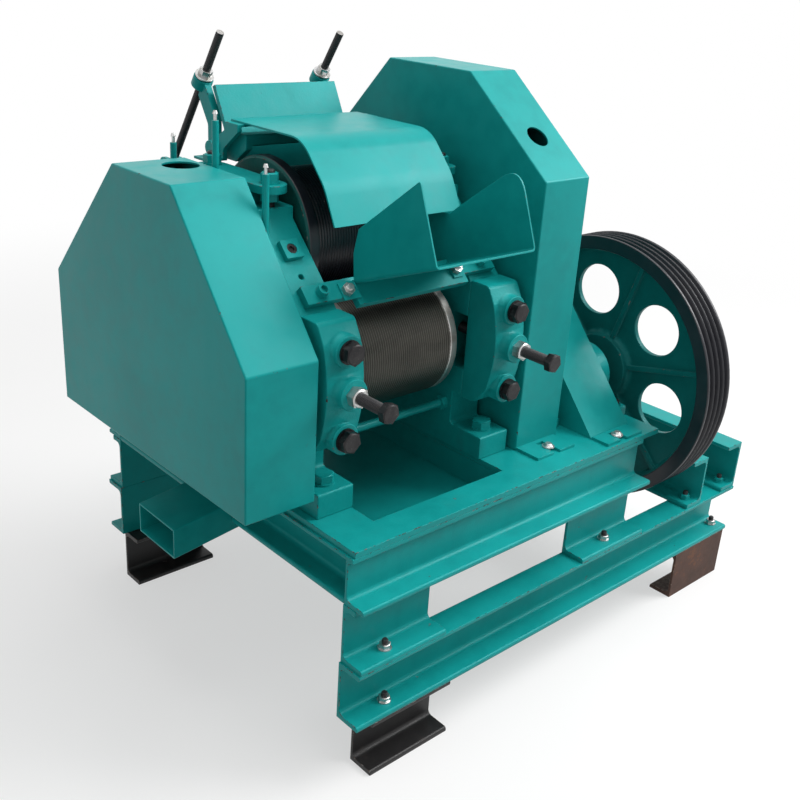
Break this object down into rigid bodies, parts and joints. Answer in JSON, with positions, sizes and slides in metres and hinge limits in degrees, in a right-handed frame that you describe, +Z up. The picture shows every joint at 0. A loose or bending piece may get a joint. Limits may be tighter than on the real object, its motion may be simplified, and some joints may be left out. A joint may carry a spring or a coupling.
{
  "type": "three roller sugar cane crusher",
  "caption": "Belt-driven sugar cane crusher: geared rollers in cast side frames under a curved hood, with feed hopper, juice tray, gear covers, grooved pulley and channel skid.",
  "frame": {"origin": "middle of the machine's footprint, on the floor", "axes": "+X along the rollers from the gear cover towards the belt pulley, +Y from the feed side to the discharge side, +Z up"},
  "size_m": [1.115, 0.795, 1.0373],
  "materials": {
    "teal_paint": "semi-gloss enamel",
    "pulley_paint": "semi-gloss enamel, rim bare of green",
    "black_paint": "satin",
    "brown_primer": "matt primer",
    "black_steel": "black oxide",
    "zinc_steel": "zinc plated",
    "dark_steel": "turned, oiled",
    "gear_iron": "machined, greased",
    "bronze": "plain"
  },
  "bodies": {
    "frame": {"lower_channels": "teal_paint", "left_feet": "black_paint", "right_feet": "brown_primer", "spacer_channels": "teal_paint", "upper_beams": "teal_paint", "motor_rails": "teal_paint", "skid_bolts": "zinc_steel", "top_plate": "teal_paint", "juice_tray": "teal_paint", "juice_outlet_tube": "teal_paint", "left_side_frame": "teal_paint", "right_side_frame": "teal_paint", "front_caps": "teal_paint", "rear_caps": "teal_paint", "cap_bolts": "black_steel", "lock_nuts": "zinc_steel", "top_bearing_blocks": "teal_paint", "fixed_bushes": "bronze", "keeper_bars": "teal_paint", "keeper_studs": "teal_paint", "plate_bolts": "teal_paint", "tie_rods": "teal_paint", "turner_bar": "dark_steel", "front_cross_plate": "teal_paint", "rear_chute": "teal_paint", "cross_plate_fixings": "black_steel", "hopper": "teal_paint", "hood": "teal_paint", "hood_brackets": "teal_paint", "left_gear_cover": "teal_paint", "right_gear_cover": "teal_paint", "lower_gear_cover": "teal_paint", "cover_bolts": "zinc_steel", "shaft_pedestal": "teal_paint", "pillow_block": "teal_paint", "scraper_rods": "black_steel", "grease_pipes": "teal_paint"},
    "front_carriage": {"front_bearing_blocks": "teal_paint", "front_bushes": "bronze"},
    "rear_carriage": {"rear_bearing_blocks": "teal_paint", "rear_bushes": "bronze"},
    "top_roller_set": {"top_roller": "dark_steel", "top_roller_gear": "gear_iron", "bull_gear": "gear_iron"},
    "front_roller_set": {"front_roller": "dark_steel", "front_roller_gear": "gear_iron"},
    "rear_roller_set": {"rear_roller": "dark_steel", "rear_roller_gear": "gear_iron"},
    "intermediate_set": {"intermediate_shaft": "dark_steel", "first_gear": "gear_iron"},
    "pulley_set": {"pulley_shaft": "dark_steel", "belt_pulley": "pulley_paint"},
    "front_left_adjuster": {"front_left_screw": "black_steel"},
    "front_right_adjuster": {"front_right_screw": "black_steel"},
    "rear_left_adjuster": {"rear_left_screw": "black_steel"},
    "rear_right_adjuster": {"rear_right_screw": "black_steel"},
    "scraper": {"scraper_yoke": "teal_paint", "scraper_plate": "teal_paint"},
    "left_nut": {"left_rod_nut": "zinc_steel"},
    "right_nut": {"right_rod_nut": "zinc_steel"}
  },
  "joints": [
    {"name": "top_roller_spin", "type": "hinge", "parent": "frame", "child": "top_roller_set", "pos_m": [-0.2275, 0.0335, 0.75], "axis": [1, 0, 0], "continuous": true},
    {"name": "front_adjust_slide", "type": "slide", "parent": "frame", "child": "front_carriage", "axis": [0, -1, 0], "range_m": [0, 0.004]},
    {"name": "rear_adjust_slide", "type": "slide", "parent": "frame", "child": "rear_carriage", "axis": [0, 1, 0], "range_m": [0, 0.004]},
    {"name": "front_roller_spin", "type": "hinge", "parent": "front_carriage", "child": "front_roller_set", "pos_m": [-0.2275, -0.0755, 0.58231], "axis": [1, 0, 0], "continuous": true},
    {"name": "rear_roller_spin", "type": "hinge", "parent": "rear_carriage", "child": "rear_roller_set", "pos_m": [-0.2275, 0.1425, 0.58231], "axis": [1, 0, 0], "continuous": true},
    {"name": "intermediate_spin", "type": "hinge", "parent": "frame", "child": "intermediate_set", "pos_m": [0.0625, -0.02271, 0.48592], "axis": [1, 0, 0], "continuous": true},
    {"name": "pulley_spin", "type": "hinge", "parent": "frame", "child": "pulley_set", "pos_m": [0.2625, -0.1415, 0.447], "axis": [1, 0, 0], "continuous": true},
    {"name": "scraper_swing", "type": "hinge", "parent": "frame", "child": "scraper", "pos_m": [-0.2215, 0.1525, 0.864], "axis": [1, 0, 0], "range_deg": [0, 4]},
    {"name": "front_left_screw_turn", "type": "hinge", "parent": "front_carriage", "child": "front_left_adjuster", "pos_m": [-0.391, -0.3155, 0.592], "axis": [0, -1, 0], "range_deg": [0, 580]},
    {"name": "front_right_screw_turn", "type": "hinge", "parent": "front_carriage", "child": "front_right_adjuster", "pos_m": [-0.052, -0.3155, 0.592], "axis": [0, -1, 0], "range_deg": [0, 580]},
    {"name": "rear_left_screw_turn", "type": "hinge", "parent": "rear_carriage", "child": "rear_left_adjuster", "pos_m": [-0.391, 0.3825, 0.592], "axis": [0, 1, 0], "range_deg": [0, 580]},
    {"name": "rear_right_screw_turn", "type": "hinge", "parent": "rear_carriage", "child": "rear_right_adjuster", "pos_m": [-0.052, 0.3825, 0.592], "axis": [0, 1, 0], "range_deg": [0, 580]},
    {"name": "left_nut_slide", "type": "slide", "parent": "frame", "child": "left_nut", "axis": [0, -0.5555, 0.8315], "range_m": [0, 0.00749]},
    {"name": "right_nut_slide", "type": "slide", "parent": "frame", "child": "right_nut", "axis": [0, -0.5555, 0.8315], "range_m": [0, 0.00749]}
  ],
  "couplings": [
    {"joint": "front_roller_spin", "follows": "top_roller_spin", "ratio": -1},
    {"joint": "rear_roller_spin", "follows": "top_roller_spin", "ratio": -1},
    {"joint": "intermediate_spin", "follows": "top_roller_spin", "ratio": -4},
    {"joint": "pulley_spin", "follows": "top_roller_spin", "ratio": 9.3333},
    {"joint": "front_left_screw_turn", "follows": "front_adjust_slide", "rad_per_m": 2513.3},
    {"joint": "front_right_screw_turn", "follows": "front_adjust_slide", "rad_per_m": 2513.3},
    {"joint": "rear_left_screw_turn", "follows": "rear_adjust_slide", "rad_per_m": 2513.3},
    {"joint": "rear_right_screw_turn", "follows": "rear_adjust_slide", "rad_per_m": 2513.3},
    {"joint": "left_nut_slide", "follows": "scraper_swing", "m_per_rad": 0.10525},
    {"joint": "right_nut_slide", "follows": "scraper_swing", "m_per_rad": 0.10525}
  ]
}
